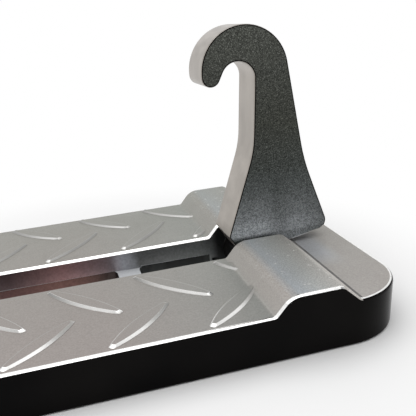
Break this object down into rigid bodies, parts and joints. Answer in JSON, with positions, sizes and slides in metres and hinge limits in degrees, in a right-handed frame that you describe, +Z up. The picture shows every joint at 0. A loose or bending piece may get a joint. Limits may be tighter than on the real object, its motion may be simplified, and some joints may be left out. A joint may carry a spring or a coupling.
{
  "type": "car door latch step",
  "caption": "Folding step for a vehicle door striker: a ribbed tread plate with raised bars and a slot, a hinged hook that folds into it, and a rubber end buffer.",
  "frame": {"origin": "on the floor, under the middle of the part's footprint, buffer included", "axes": "+X towards the hinge end and its rubber buffer, +Y from the front long side to the rear one, +Z up out of the tread"},
  "size_m": [0.162, 0.0904, 0.0702],
  "materials": {
    "satin_aluminium": "satin metallic, bright on the cut edges",
    "dark_textured_coat": "fine textured powder coat over aluminium",
    "zinc_steel": "zinc plated",
    "natural_nylon": "matt",
    "black_rubber": "matt"
  },
  "bodies": {
    "plate": {"body_plate": "satin_aluminium", "hinge_pin": "zinc_steel", "thrust_washer_front": "natural_nylon", "thrust_washer_rear": "natural_nylon", "pin_keeper_front": "zinc_steel", "pin_keeper_rear": "zinc_steel", "keeper_screw_front_left": "zinc_steel", "keeper_screw_front_right": "zinc_steel", "keeper_screw_rear_left": "zinc_steel", "keeper_screw_rear_right": "zinc_steel", "end_buffer": "black_rubber", "buffer_screw_front": "zinc_steel", "buffer_screw_rear": "zinc_steel"},
    "hook_arm": {"hook": "dark_textured_coat"}
  },
  "joints": [
    {"name": "hook_fold", "type": "hinge", "parent": "plate", "child": "hook_arm", "pos_m": [0.055, 0, 0.0075], "axis": [0, -1, 0], "range_deg": [0, 92]}
  ]
}
